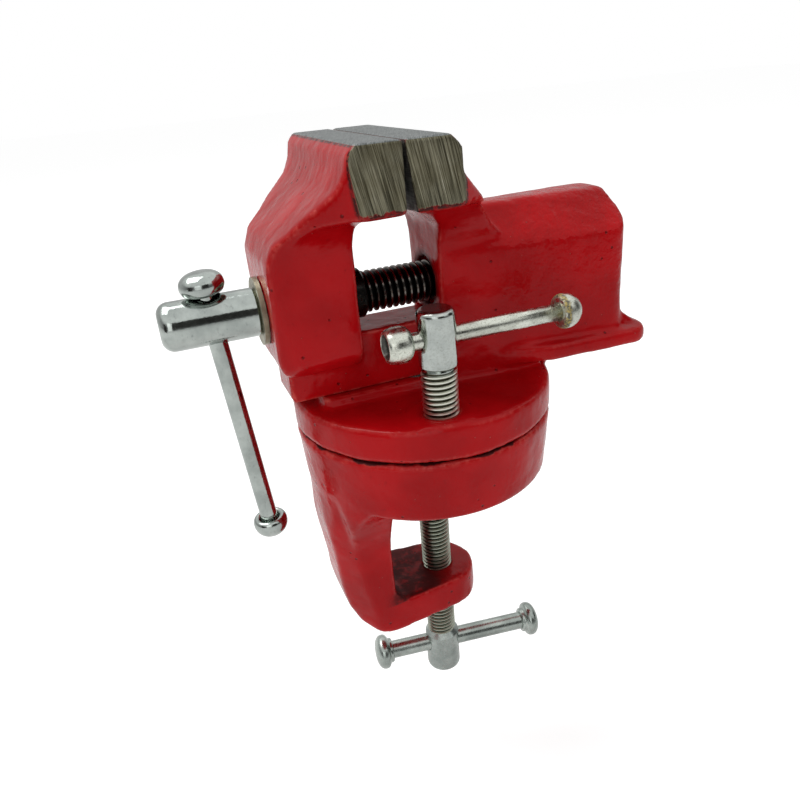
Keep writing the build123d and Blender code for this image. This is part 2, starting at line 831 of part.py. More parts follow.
# Round head of the spindle, bored across for its sliding bar
with BuildPart() as spindle_head:
    add(head_blank().moved(spindle_plane.offset(spindle_head_front_x).location))
    with Locations(spindle_plane.offset(washer_front_x)):
        Cylinder(
            spindle_stub_d / 2,
            spindle_stub_len,
            align=(Align.CENTER, Align.CENTER, Align.MAX),
            mode=Mode.SUBTRACT,
        )
    with Locations((spindle_bar_x, 0, spindle_z)):
        Cylinder(spindle_bar_hole_d / 2, spindle_head_d * 2, mode=Mode.SUBTRACT)
spindle_head.part.label = "spindle_head"
export_step(spindle_head.part, "parts/spindle_head.step")

# Thrust washer between the spindle head and the moving jaw
with BuildPart(spindle_plane.offset(washer_front_x)) as thrust_washer:
    Cylinder(washer_d / 2, washer_t, align=(Align.CENTER, Align.CENTER, Align.MIN))
    Cylinder(
        spindle_d / 2,
        washer_t,
        align=(Align.CENTER, Align.CENTER, Align.MIN),
        mode=Mode.SUBTRACT,
    )
thrust_washer.part.label = "thrust_washer"
export_step(thrust_washer.part, "parts/thrust_washer.step")

# Collar that keeps the moving jaw on the spindle
with BuildPart(spindle_plane.offset(collar_front_x)) as retaining_collar:
    Cylinder(collar_d / 2, collar_len, align=(Align.CENTER, Align.CENTER, Align.MIN))
    chamfer(retaining_collar.edges().filter_by(GeomType.CIRCLE), collar_break)
    Cylinder(
        spindle_d / 2,
        collar_len,
        align=(Align.CENTER, Align.CENTER, Align.MIN),
        mode=Mode.SUBTRACT,
    )
    with Locations(Location((0, 0, collar_len / 2), (0, 90, 0))):
        Cylinder(collar_pin_d / 2, collar_d * 2, mode=Mode.SUBTRACT)
retaining_collar.part.label = "retaining_collar"
export_step(retaining_collar.part, "parts/retaining_collar.step")

# Pin through the collar and the spindle
with BuildPart(Plane.XZ * Location((collar_mid_x, spindle_z, 0))) as collar_pin:
    Cylinder(collar_pin_d / 2, collar_d - 2 * collar_pin_sink)
collar_pin.part.label = "collar_pin"
export_step(collar_pin.part, "parts/collar_pin.step")

# Sliding bar of the spindle, leaning in its loose hole
with BuildPart() as spindle_bar:
    add(
        cross_bar(
            spindle_bar_plane,
            spindle_bar_d,
            low_knob_along,
            low_knob_len,
            top_knob_along,
            top_knob_len,
        )
    )
spindle_bar.part.label = "spindle_bar"
export_step(spindle_bar.part, "parts/spindle_bar.step")

# Upper knob of the spindle bar
with BuildPart() as spindle_knob_top:
    add(bar_end(spindle_bar_plane, top_knob_along, 1, top_knob_shape))
spindle_knob_top.part.label = "spindle_knob_top"
export_step(spindle_knob_top.part, "parts/spindle_knob_top.step")

# Lower knob of the spindle bar
with BuildPart() as spindle_knob_low:
    add(bar_end(spindle_bar_plane, low_knob_along, -1, low_knob_shape))
spindle_knob_low.part.label = "spindle_knob_low"
export_step(spindle_knob_low.part, "parts/spindle_knob_low.step")

# Lock screw of the swivel
with BuildPart() as lock_screw:
    lock_thread = threaded_rod(screw_d, screw_pitch, lock_head_z + 1 - lock_thread_z, screw_tip_chamfer)
    add(lock_thread.moved(Location((lock_x, lock_y, lock_thread_z))))
    add(screw_head(lock_head_d).moved(Location((lock_x, lock_y, lock_head_z))))
    with Locations((lock_x, lock_y, lock_thread_z)):
        Cylinder(
            pad_stem_d / 2 + cross_hole_clear,
            pad_stem_len,
            align=(Align.CENTER, Align.CENTER, Align.MIN),
            mode=Mode.SUBTRACT,
        )
    with Locations(lock_bar_plane):
        Cylinder(lock_bar_d / 2 + cross_hole_clear, lock_head_d * 2, mode=Mode.SUBTRACT)
lock_screw.part.label = "lock_screw"
export_step(lock_screw.part, "parts/lock_screw.step")

# Thrust pad of the lock screw
with BuildPart(Plane.XY.offset(lock_pad_z)) as lock_pad:
    with Locations((lock_x, lock_y)):
        Cylinder(lock_pad_d / 2, lock_pad_t, align=(Align.CENTER, Align.CENTER, Align.MIN))
        Cylinder(
            pad_stem_d / 2,
            lock_pad_t + pad_stem_len,
            align=(Align.CENTER, Align.CENTER, Align.MIN),
        )
lock_pad.part.label = "lock_pad"
export_step(lock_pad.part, "parts/lock_pad.step")

# Sliding bar of the lock screw
with BuildPart() as lock_bar:
    add(
        cross_bar(
            lock_bar_plane,
            lock_bar_d,
            lock_bar_low,
            lock_knob_len,
            lock_bar_low + lock_bar_span,
            lock_knob_len,
        )
    )
lock_bar.part.label = "lock_bar"
export_step(lock_bar.part, "parts/lock_bar.step")

# Knobs of the lock bar
with BuildPart() as lock_knob_near:
    add(bar_end(lock_bar_plane, lock_bar_low, -1, lock_knob_shape))
lock_knob_near.part.label = "lock_knob_near"
export_step(lock_knob_near.part, "parts/lock_knob_near.step")

with BuildPart() as lock_knob_far:
    add(bar_end(lock_bar_plane, lock_bar_low + lock_bar_span, 1, lock_knob_shape))
lock_knob_far.part.label = "lock_knob_far"
export_step(lock_knob_far.part, "parts/lock_knob_far.step")

# Clamp screw under the table
with BuildPart() as clamp_screw:
    clamp_thread = threaded_rod(
        screw_d,
        screw_pitch,
        clamp_thread_top_z - clamp_thread_z,
        screw_tip_chamfer,
    )
    add(clamp_thread.moved(Location((clamp_x, 0, clamp_thread_z))))
    add(screw_head(clamp_head_d).moved(Location((clamp_x, 0, clamp_head_top_z), (180, 0, 0))))
    with Locations((clamp_x, 0, clamp_thread_top_z - 1)):
        Cylinder(
            clamp_tip_d / 2,
            clamp_tip_len + 1,
            align=(Align.CENTER, Align.CENTER, Align.MIN),
        )
    with Locations(clamp_bar_plane):
        Cylinder(clamp_bar_d / 2 + cross_hole_clear, clamp_head_d * 2, mode=Mode.SUBTRACT)
clamp_screw.part.label = "clamp_screw"
export_step(clamp_screw.part, "parts/clamp_screw.step")

# Swivel pad that bears on the underside of the table
with BuildPart(Plane.XY.offset(clamp_pad_bottom_z)) as clamp_pad:
    with Locations((clamp_x, 0)):
        Cylinder(clamp_pad_d / 2, clamp_pad_t, align=(Align.CENTER, Align.CENTER, Align.MIN))
    fillet(clamp_pad.edges().filter_by(GeomType.CIRCLE), clamp_pad_edge_r)
    with Locations((clamp_x, 0)):
        Cylinder(
            clamp_tip_d / 2 + cross_hole_clear,
            clamp_tip_len,
            align=(Align.CENTER, Align.CENTER, Align.MIN),
            mode=Mode.SUBTRACT,
        )
clamp_pad.part.label = "clamp_pad"
export_step(clamp_pad.part, "parts/clamp_pad.step")

# Sliding bar of the clamp screw
with BuildPart() as clamp_bar:
    add(
        cross_bar(
            clamp_bar_plane,
            clamp_bar_d,
            clamp_bar_low,
            clamp_knob_len,
            clamp_bar_low + clamp_bar_span,
            clamp_knob_len,
        )
    )
clamp_bar.part.label = "clamp_bar"
export_step(clamp_bar.part, "parts/clamp_bar.step")

# Knobs of the clamp bar
with BuildPart() as clamp_knob_left:
    add(bar_end(clamp_bar_plane, clamp_bar_low, -1, clamp_knob_shape))
clamp_knob_left.part.label = "clamp_knob_left"
export_step(clamp_knob_left.part, "parts/clamp_knob_left.step")

with BuildPart() as clamp_knob_right:
    add(bar_end(clamp_bar_plane, clamp_bar_low + clamp_bar_span, 1, clamp_knob_shape))
clamp_knob_right.part.label = "clamp_knob_right"
export_step(clamp_knob_right.part, "parts/clamp_knob_right.step")
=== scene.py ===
"""Clamp-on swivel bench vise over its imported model: castings, knobs, materials, light and camera.

Shapes are worked out in millimetres and stored in metres. Material coordinates are the resting
frame's, in millimetres, so a finish stays on its surface in every pose.
"""

import math

import bmesh
import bpy
import numpy as np
from mathutils import Matrix, Vector, noise


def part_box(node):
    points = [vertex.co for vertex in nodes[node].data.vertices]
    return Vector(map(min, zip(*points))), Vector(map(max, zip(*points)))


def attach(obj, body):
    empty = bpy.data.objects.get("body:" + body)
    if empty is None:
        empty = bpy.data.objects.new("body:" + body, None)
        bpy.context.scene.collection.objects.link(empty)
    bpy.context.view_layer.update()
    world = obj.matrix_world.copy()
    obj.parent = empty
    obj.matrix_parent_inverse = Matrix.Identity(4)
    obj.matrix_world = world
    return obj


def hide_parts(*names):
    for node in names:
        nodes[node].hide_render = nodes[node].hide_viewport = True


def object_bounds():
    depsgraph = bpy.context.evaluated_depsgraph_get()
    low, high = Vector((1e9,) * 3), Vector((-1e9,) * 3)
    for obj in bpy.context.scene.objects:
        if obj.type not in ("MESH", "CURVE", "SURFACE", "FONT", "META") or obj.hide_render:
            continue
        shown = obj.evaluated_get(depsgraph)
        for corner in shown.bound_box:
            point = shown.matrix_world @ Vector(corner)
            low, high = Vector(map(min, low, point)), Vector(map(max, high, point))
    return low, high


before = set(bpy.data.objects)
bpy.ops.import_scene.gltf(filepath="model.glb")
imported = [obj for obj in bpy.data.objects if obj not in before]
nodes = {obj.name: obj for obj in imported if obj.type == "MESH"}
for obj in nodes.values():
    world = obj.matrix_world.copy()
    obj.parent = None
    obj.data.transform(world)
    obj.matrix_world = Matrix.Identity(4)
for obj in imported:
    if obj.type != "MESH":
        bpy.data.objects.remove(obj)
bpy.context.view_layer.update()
scene = bpy.context.scene
MM = 0.001

# Jaws, from the CAD source, in millimetres
JAW_TOP = 101.0
JAW_BAND_H = 17.5
JAW_UNDER = JAW_TOP - JAW_BAND_H
JAW_HALF = 30.0
MOVING_FACE = -11.3
FACE_TOP = -10.9
FACE_LOW = -8.6

# Middle of the gap between the discs, and the radius inside which it can't be seen
SEAM_Z = 19.25
SEAM_INNER_R = 36.0

# Screws and their bars: the clamp screw goes down by its drop from rest
SPINDLE_Z = 58.3
SPINDLE_BAR_X = -58.5
SPINDLE_BAR_LEAN = math.radians(4.9)
LOCK = (-5.8045, -29.586)
LOCK_HEAD_LOW = 42.6
LOCK_HEAD_TOP = 59.6
LOCK_BAR_Z = 51.6
LOCK_BAR_TURN = math.radians(-0.6)
SHELF_Z = -42.6
CLAMP_X = 1.3
CLAMP_HEAD_TOP = -72.2
CLAMP_BAR_Z = -78.4
CLAMP_BAR_TURN = math.radians(-8.4)
CLAMP_DROP = 28.2

# Radii of a thread's roots and crests, between which its finish goes from painted shade to a painted
# highlight
M10_THREAD = (4.25, 4.75)
M12_THREAD = (5.35, 5.85)


def level_bar(place, turn):
    """Point and direction of a level bar turned from X."""
    return Vector(place), Vector((math.cos(turn), math.sin(turn), 0))


SPINDLE_BAR = (
    Vector((SPINDLE_BAR_X, 0, SPINDLE_Z)),
    Vector((-math.sin(SPINDLE_BAR_LEAN), 0, math.cos(SPINDLE_BAR_LEAN))),
)
LOCK_BAR = level_bar((*LOCK, LOCK_BAR_Z), LOCK_BAR_TURN)
CLAMP_BAR = level_bar((CLAMP_X, 0, CLAMP_BAR_Z), CLAMP_BAR_TURN)


def linear(r, g, b):
    """Linear colour of an sRGB one given in 0..255."""

    def level(c):
        return ((c / 255 + 0.055) / 1.055) ** 2.4 if c > 10 else c / 255 / 12.92

    return (level(r), level(g), level(b), 1.0)


# Enamel, what wears it, and the painted shade and highlights on it
DEEP_RED = linear(162, 6, 12)
BRIGHT_RED = linear(184, 11, 18)
DULL_RED = linear(126, 5, 10)
RUBBED_HIGHLIGHT_RED = linear(214, 92, 84)
CORNER_SHADE_RED = linear(84, 3, 6)
PIT_SHADE = linear(60, 4, 6)
SPECK_HIGHLIGHT = linear(216, 96, 88)
SEAM_SHADE = linear(38, 7, 7)
HOLE_AND_SHELF_SHADE = linear(26, 8, 8)
PAINT_EDGE_SHADE = linear(34, 14, 11)

# Bare iron from dark to bright, and what stains it
GRIP_IRON = (linear(46, 44, 40), linear(104, 102, 96))
END_IRON = (linear(48, 46, 34), linear(146, 142, 120), linear(206, 202, 186))
TOP_IRON = (linear(78, 82, 82), linear(142, 146, 145), linear(190, 193, 192))
END_STAIN = linear(84, 76, 50)

# Marks on plated steel, and the painted shade in the near knob's hollow
SPOT = linear(112, 108, 92)
SOIL = linear(70, 62, 48)
RUST = (linear(40, 34, 14), linear(168, 146, 58))
HOLLOW_SHADE = linear(34, 30, 24)
LOCK_TOP_TONE = linear(132, 118, 116)


class Graph:
    """Maths with the nodes of one tree."""

    def __init__(self, tree):
        self.tree = tree

    def new(self, kind):
        """New shader node of a kind."""
        return self.tree.nodes.new("ShaderNode" + kind)

    def put(self, socket, value):
        """Links an output to the socket or sets a constant; None leaves it alone."""
        if isinstance(value, bpy.types.NodeSocket):
            self.tree.links.new(value, socket)
        elif value is not None:
            socket.default_value = value

    def maths(self, operation, *values):
        """Result of a maths node on one or two values, each a number or an output."""
        node = self.new("Math")
        node.operation = operation
        for socket, value in zip(node.inputs, values):
            self.put(socket, value)
        return node.outputs[0]

    def plus(self, a, b):
        return self.maths("ADD", a, b)

    def minus(self, a, b):
        return self.maths("SUBTRACT", a, b)

    def times(self, a, b):
        return self.maths("MULTIPLY", a, b)

    def most(self, a, b):
        return self.maths("MAXIMUM", a, b)

    def ramp(self, value, low, high, start=0.0, end=1.0):
        """Smooth step from start to end as the value goes from low to high."""
        node = self.new("MapRange")
        node.interpolation_type = "SMOOTHSTEP"
        self.put(node.inputs["Value"], value)
        for socket, number in zip(("From Min", "From Max", "To Min", "To Max"), (low, high, start, end)):
            node.inputs[socket].default_value = number
        return node.outputs[0]


class Finish(Graph):
    """A material built from procedural nodes over the resting frame in millimetres."""

    def __init__(self, name, **constants):
        self.material = bpy.data.materials.new(name)
        self.material.use_nodes = True
        super().__init__(self.material.node_tree)
        self.shader = self.tree.nodes["Principled BSDF"]
        for socket, value in constants.items():
            self.shader.inputs[socket.replace("_", " ")].default_value = value
        scaled = self.new("VectorMath")
        scaled.operation = "SCALE"
        scaled.inputs["Scale"].default_value = 1 / MM
        self.put(scaled.inputs[0], self.new("TexCoord").outputs["Object"])
        self.place = scaled.outputs[0]
        split = self.new("SeparateXYZ")
        self.put(split.inputs[0], self.place)
        self.x, self.y, self.z = split.outputs

    def stretched(self, scale, turn=(0, 0, 0)):
        """Coordinates turned by degrees and then scaled along each axis."""
        spin = self.new("VectorRotate")
        spin.rotation_type = "EULER_XYZ"
        self.put(spin.inputs["Vector"], self.place)
        spin.inputs["Rotation"].default_value = [math.radians(t) for t in turn]
        node = self.new("VectorMath")
        node.operation = "MULTIPLY"
        self.put(node.inputs[0], spin.outputs[0])
        node.inputs[1].default_value = scale
        return node.outputs[0]

    def grain(self, size, detail=2.0, rough=0.5, vector=None):
        """Noise from 0 to 1 with features of about the given size."""
        node = self.new("TexNoise")
        self.put(node.inputs["Vector"], vector or self.place)
        node.inputs["Scale"].default_value = 1 / size
        node.inputs["Detail"].default_value = detail
        node.inputs["Roughness"].default_value = rough
        return node.outputs[0]

    def cells(self, size, vector=None):
        """Distance to the nearest of scattered points, in cells."""
        node = self.new("TexVoronoi")
        self.put(node.inputs["Vector"], vector or self.place)
        node.inputs["Scale"].default_value = 1 / size
        return node.outputs["Distance"]

    def wander(self, size, rough, width):
        """Noise about zero that moves an edge to either side within the width."""
        return self.times(self.minus(self.grain(size, 3.0, rough), 0.5), width)

    def off(self, value, place):
        """How far the value is from a place, to either side."""
        return self.maths("ABSOLUTE", self.minus(value, place))

    def radius(self, centre, axis):
        """Distance from a line along X or Z through the centre."""
        across = (self.y, self.z) if axis == "X" else (self.x, self.y)
        sides = [self.minus(value, middle) for value, middle in zip(across, centre)]
        return self.maths("SQRT", self.plus(*[self.times(side, side) for side in sides]))

    def mix(self, factor, a, b):
        """Colour between a and b."""
        node = self.new("Mix")
        node.data_type = "RGBA"
        self.put(node.inputs["Factor"], factor)
        self.put(node.inputs[6], a)
        self.put(node.inputs[7], b)
        return node.outputs[2]

    def blend(self, factor, a, b):
        """Number between a and b."""
        node = self.new("Mix")
        self.put(node.inputs["Factor"], factor)
        self.put(node.inputs[2], a)
        self.put(node.inputs[3], b)
        return node.outputs[0]

    def relief(self, height, depth, over=None):
        """Bump of the given depth in millimetres, laid over an earlier one."""
        node = self.new("Bump")
        node.inputs["Distance"].default_value = depth * MM
        self.put(node.inputs["Height"], height)
        self.put(node.inputs["Normal"], over)
        return node.outputs[0]

    def finish(self, colour, roughness, normal=None, metallic=None):
        """The material, with its shader fed by the given outputs."""
        self.put(self.shader.inputs["Base Color"], colour)
        self.put(self.shader.inputs["Roughness"], roughness)
        self.put(self.shader.inputs["Normal"], normal)
        self.put(self.shader.inputs["Metallic"], metallic)
        return self.material


# Enamelled iron


def enamel(f):
    """Colour of the enamel, and how far each place is in a speck or in a pit."""
    colour = f.mix(f.ramp(f.grain(18.0), 0.3, 0.7), DEEP_RED, BRIGHT_RED)
    dull = f.ramp(f.grain(3.0, 3.0, 0.6), 0.62, 0.78, 0.0, 0.35)
    colour = f.mix(dull, colour, DULL_RED)

    # Worn pale along the ridges with a painted highlight there too, and painted shade in the corners
    bend = f.new("NewGeometry").outputs["Pointiness"]
    rubbed_and_highlight = f.times(f.ramp(bend, 0.515, 0.565), f.ramp(f.grain(2.6, 3.0, 0.65), 0.42, 0.60, 0.12, 0.8))
    colour = f.mix(rubbed_and_highlight, colour, RUBBED_HIGHLIGHT_RED)
    colour = f.mix(f.ramp(bend, 0.47, 0.41, 0.0, 0.6), colour, CORNER_SHADE_RED)

    # Pits with a dark floor of painted shade and small raised specks with painted highlights on their tops,
    # both in patches
    pit = f.times(f.ramp(f.cells(4.6), 0.05, 0.12, 1.0, 0.0), f.ramp(f.grain(11.0, 1.0), 0.47, 0.53))
    colour = f.mix(f.times(pit, 0.7), colour, PIT_SHADE)
    patches = f.grain(8.0, 1.0, 0.5, f.stretched((1, 1, 1), (0, 40, 9)))
    speck = f.ramp(f.cells(3.1, f.stretched((1, 1, 1), (31, 17, 0))), 0.04, 0.09, 1.0, 0.0)
    speck = f.times(speck, f.ramp(patches, 0.52, 0.56))
    colour = f.mix(f.times(speck, 0.5), colour, SPECK_HIGHLIGHT)
    return colour, speck, pit


def disc_seam(f):
    """Painted shade in the wandering line between the two discs."""
    off = f.off(f.plus(f.z, f.wander(7.0, 0.6, 2.2)), SEAM_Z)
    width = f.ramp(f.grain(13.0, 1.0), 0.4, 0.65, 0.3, 0.75)
    line = f.ramp(f.minus(off, width), -0.25, 0.15, 1.0, 0.0)
    return f.times(line, f.ramp(f.radius((0, 0), "Z"), SEAM_INNER_R, SEAM_INNER_R + 1.5))


def hole_and_shelf_shade(f):
    """Painted shade round the spindle's hole and on the arm's shelf under the clamp screw."""
    ring = f.ramp(f.radius((0, SPINDLE_Z), "X"), 7.0, 11.0, 1.0, 0.0)
    ring = f.times(f.times(ring, f.ramp(f.x, 1.0, 3.0)), f.ramp(f.x, 6.5, 5.0))
    shelf = f.times(f.ramp(f.z, SHELF_Z - 0.6, SHELF_Z - 0.2), f.ramp(f.z, -36.0, -40.0))
    shelf = f.times(shelf, f.times(f.ramp(f.x, -24.0, -18.0), f.ramp(f.x, 6.0, -5.0)))
    shelf = f.times(shelf, f.ramp(f.grain(5.0, 3.0, 0.65), 0.36, 0.56, 0.45, 0.95))
    return f.most(ring, shelf)


def gripping_faces(f):
    """Where the two gripping faces are: the moving one upright, the fixed one leaning back."""
    tilt = (FACE_LOW - FACE_TOP) / JAW_BAND_H
    lean = f.minus(f.plus(f.x, f.times(f.z, tilt)), FACE_TOP + JAW_TOP * tilt)
    grip = f.times(f.ramp(lean, 0.1, 0.3, 1.0, 0.0), f.ramp(f.x, MOVING_FACE - 0.3, MOVING_FACE - 0.15))
    return f.times(grip, f.ramp(f.z, JAW_UNDER - 0.5, JAW_UNDER + 0.3))


def jaw_band(f):
    """Where the ground ends and tops of the jaws are, and the painted shade of the paint's edge round them.
    """
    edge_wander = f.wander(2.2, 0.7, 3.4)
    out = f.maths("ABSOLUTE", f.y)
    end_face = f.ramp(out, JAW_HALF - 0.42, JAW_HALF - 0.22)
    end_face = f.times(end_face, f.ramp(f.plus(f.z, edge_wander), JAW_UNDER + 1.1, JAW_UNDER + 1.5))
    top_face = f.ramp(f.z, JAW_TOP - 0.42, JAW_TOP - 0.22)
    bare = f.most(end_face, top_face)
    # Painted shade of the paint's edge along the bare faces
    near_end = f.ramp(out, JAW_HALF - 1.0, JAW_HALF - 0.5)
    near_end = f.times(near_end, f.ramp(f.z, JAW_UNDER - 0.1, JAW_UNDER + 0.9))
    near_top = f.ramp(f.z, JAW_TOP - 1.0, JAW_TOP - 0.5)
    rim = f.times(f.most(near_end, near_top), f.minus(1.0, bare))
    rim = f.times(rim, f.ramp(f.grain(1.8, 3.0, 0.7), 0.38, 0.56, 0.35, 0.95))
    return top_face, bare, rim


def scored(f, lines, shades, spread, shine):
    """Iron that is dark between its lines and bright on their edges."""
    dark, middle, bright = shades
    colour = f.mix(f.ramp(lines, *spread), dark, middle)
    return f.mix(f.ramp(lines, *shine), colour, bright)


def band_iron(f, top_face):
    """Colour of the ground band, drawn upwards on its ends and across on its tops, and both sets of lines."""
    streaks = f.grain(1.0, 3.0, 0.65, f.stretched((2.3, 1.0, 0.05), (0, 13, 0)))
    hairs = f.grain(1.0, 2.0, 0.7, f.stretched((7.0, 1.0, 0.07), (0, 12, 0)))
    drawn = f.plus(f.times(streaks, 0.55), f.times(hairs, 0.45))
    across = f.grain(1.0, 3.0, 0.7, f.stretched((4.0, 0.16, 1.0), (0, 0, 24)))
    along = f.grain(1.0, 2.0, 0.7, f.stretched((0.25, 5.0, 1.0), (0, 0, 8)))
    ground = f.plus(f.times(across, 0.65), f.times(along, 0.35))
    end_colour = scored(f, drawn, END_IRON, spread=(0.40, 0.60), shine=(0.60, 0.68))
    end_colour = f.mix(f.ramp(f.grain(6.0), 0.35, 0.65, 0.0, 0.35), end_colour, END_STAIN)
    top_colour = scored(f, ground, TOP_IRON, spread=(0.38, 0.62), shine=(0.60, 0.70))
    return f.mix(top_face, end_colour, top_colour), drawn, ground


def enamelled_iron():
    """Red enamel over rough cast iron, ground bare on the jaw tops and ends."""
    f = Finish("enamelled_iron", Specular_IOR_Level=0.16)
    colour, speck, pit = enamel(f)
    seam = disc_seam(f)
    hole_and_shelf_shade_mask = hole_and_shelf_shade(f)
    # Painted shade in the gap between the discs
    colour = f.mix(f.times(seam, 0.93), colour, SEAM_SHADE)
    # Painted shade round the spindle's hole and on the arm's shelf
    colour = f.mix(f.times(hole_and_shelf_shade_mask, 0.9), colour, HOLE_AND_SHELF_SHADE)

    # Dull ground iron on the gripping faces
    grip = gripping_faces(f)
    cross = f.plus(f.grain(1.0, 3.0, 0.7, f.stretched((1.0, 0.15, 4.0))), f.grain(3.0, 3.0, 0.6))
    colour = f.mix(grip, colour, f.mix(f.ramp(cross, 0.75, 1.25), *GRIP_IRON))

    # Bright ground iron on the band's ends and tops, with painted shade of the paint's edge round each face
    top_face, bare, rim = jaw_band(f)
    iron, drawn, ground = band_iron(f, top_face)
    colour = f.mix(bare, colour, iron)
    colour = f.mix(rim, colour, PAINT_EDGE_SHADE)

    gloss = f.ramp(f.grain(5.0, 3.0, 0.6), 0.3, 0.75, 0.14, 0.26)
    rough = f.blend(bare, gloss, f.ramp(ground, 0.35, 0.65, 0.40, 0.52))
    rough = f.blend(f.most(f.most(seam, grip), hole_and_shelf_shade_mask), rough, 0.55)

    # Cast skin under the enamel, coarser on the anvil, with the scores of the bare faces last
    normal = f.relief(f.grain(9.0), 0.55)
    normal = f.relief(f.grain(2.4), 0.11, normal)
    on_anvil = f.times(f.ramp(f.x, 14.0, 32.0), f.ramp(f.z, 34.0, 60.0))
    normal = f.relief(f.times(f.grain(4.2, 3.0, 0.55), on_anvil), 0.9, normal)
    normal = f.relief(f.grain(0.5, 2.0, 0.6), 0.012, normal)
    normal = f.relief(f.minus(speck, pit), 0.25, normal)
    normal = f.relief(f.times(bare, f.blend(top_face, drawn, ground)), 0.10, normal)
    return f.finish(colour, rough, normal, f.times(f.most(bare, grip), 0.55))


# Plated and blackened steel


def plated(name, low, high, rough, speckle=0.0, streak=(2.0, 2.0, 2.0), soil=0.0):
    """Parts of a metal finish with light mottling, fine drawn lines and a little soiling."""
    f = Finish(name, Metallic=1.0)
    colour = f.mix(f.ramp(f.grain(7.0, 3.0, 0.6), 0.3, 0.7), linear(*low), linear(*high))
    lines = f.grain(1.0, 3.0, 0.7, f.stretched(streak))
    line_colour = linear(*[int(c * 0.62) for c in low])
    colour = f.mix(f.ramp(lines, 0.56, 0.74, 0.0, 0.35), colour, line_colour)
    if speckle:
        colour = f.mix(f.ramp(f.grain(0.55, 3.0, 0.75), 0.5, 0.66, 0.0, speckle), colour, SPOT)
    if soil:
        colour = f.mix(f.ramp(f.grain(4.5, 4.0, 0.7), 0.56, 0.74, 0.0, soil), colour, SOIL)
    roughness = f.ramp(f.grain(1.6, 3.0, 0.6), 0.3, 0.75, *rough)
    normal = f.relief(lines, 0.02)
    normal = f.relief(f.grain(0.7, 2.0, 0.6), 0.012, normal)
    return f, colour, roughness, normal


def plain(name, **look):
    """Metal finish with nothing added to it."""
    f, colour, roughness, normal = plated(name, **look)
    return f.finish(colour, roughness, normal)


def galvanised():
    """Speckled bar with a ring of rust where it enters its far knob, and painted shade in the near knob's
    hollow.
    """
    f, colour, roughness, normal = plated(
        "galvanised",
        low=(196, 199, 188),
        high=(232, 236, 224),
        rough=(0.2, 0.36),
        speckle=0.5,
        streak=(0.4, 2.6, 2.6),
    )
    rust = f.ramp(f.off(f.plus(f.x, f.wander(1.1, 0.7, 2.2)), LOCK[0] + 36.9), 0.3, 1.1, 0.85, 0.0)
    rust_colour = f.mix(f.ramp(f.grain(0.7, 3.0), 0.42, 0.58), *RUST)
    colour = f.mix(rust, colour, rust_colour)

    # Painted shade in the near knob's hollow
    # The bar's turn brings the near knob's middle 0.13 aside
    inside = f.minus(f.radius((LOCK[1] + 0.13, LOCK_BAR_Z), "X"), 3.35)
    hollow = f.ramp(inside, -0.2, 0.1, 1.0, 0.0)
    hollow = f.times(hollow, f.ramp(f.x, LOCK[0] - 11.8, LOCK[0] - 11.4, 1.0, 0.0))
    colour = f.mix(f.times(hollow, 0.93), colour, HOLLOW_SHADE)
    metal = f.minus(1.0, f.times(f.most(rust, hollow), 0.6))
    return f.finish(colour, f.plus(roughness, f.times(rust, 0.3)), normal, metal)


def threaded(name, centre, axis, thread, shades, low, high, rough):
    """Parts of a screw's finish, with its thread's colour, painted shade in the roots and a painted highlight
    on the crests, and how near each place is to a crest.
    """
    streak = (0.7, 0.7, 3.0)
    f, colour, roughness, normal = plated(name, low, high, rough, speckle=0.3, streak=streak, soil=0.2)
    crest = f.ramp(f.plus(f.radius(centre, axis), f.wander(1.4, 0.7, 0.35)), *thread)
    # Painted shade in the thread's roots, painted highlight on its crests
    dark, bright = shades
    return f, colour, roughness, normal, f.mix(crest, linear(*dark), linear(*bright)), crest


def lock_steel():
    """Bright head with a darker, duller top, and a thread with painted shade in its roots and a painted
    highlight on its crests.
    """
    f, colour, roughness, normal, thread, _ = threaded(
        "lock_steel",
        centre=LOCK,
        axis="Z",
        thread=M10_THREAD,
        shades=((66, 64, 50), (222, 224, 212)),
        low=(172, 178, 174),
        high=(198, 204, 199),
        rough=(0.07, 0.18),
    )
    on_head = f.ramp(f.z, LOCK_HEAD_LOW, LOCK_HEAD_LOW + 0.4)
    # A darker, duller tone on the top of the head
    on_top = f.ramp(f.z, LOCK_HEAD_TOP - 0.5, LOCK_HEAD_TOP - 0.2)
    colour = f.mix(on_top, f.mix(on_head, thread, colour), LOCK_TOP_TONE)
    return f.finish(colour, f.blend(on_top, f.blend(on_head, 0.28, roughness), 0.2), normal)


def clamp_steel():
    """Dull head and a thread with painted shade in its roots and a painted highlight on its crests."""
    f, colour, roughness, normal, thread, _ = threaded(
        "clamp_steel",
        centre=(CLAMP_X, 0),
        axis="Z",
        thread=M10_THREAD,
        shades=((58, 62, 50), (168, 174, 160)),
        low=(150, 158, 154),
        high=(180, 188, 183),
        rough=(0.24, 0.38),
    )
    on_head = f.ramp(f.z, CLAMP_HEAD_TOP, CLAMP_HEAD_TOP + 0.4, 1.0, 0.0)
    return f.finish(f.mix(on_head, thread, colour), f.blend(on_head, 0.36, roughness), normal)


def black_thread():
    """Blackened thread with painted shade in its roots, worn grey on its crests with a painted highlight
    there too.
    """
    f, _, _, normal, thread, crest = threaded(
        "black_oxide",
        centre=(0, SPINDLE_Z),
        axis="X",
        thread=M12_THREAD,
        shades=((16, 15, 15), (118, 112, 106)),
        low=(26, 25, 25),
        high=(44, 42, 41),
        rough=(0.22, 0.4),
    )
    return f.finish(thread, f.blend(crest, 0.42, 0.2), normal)


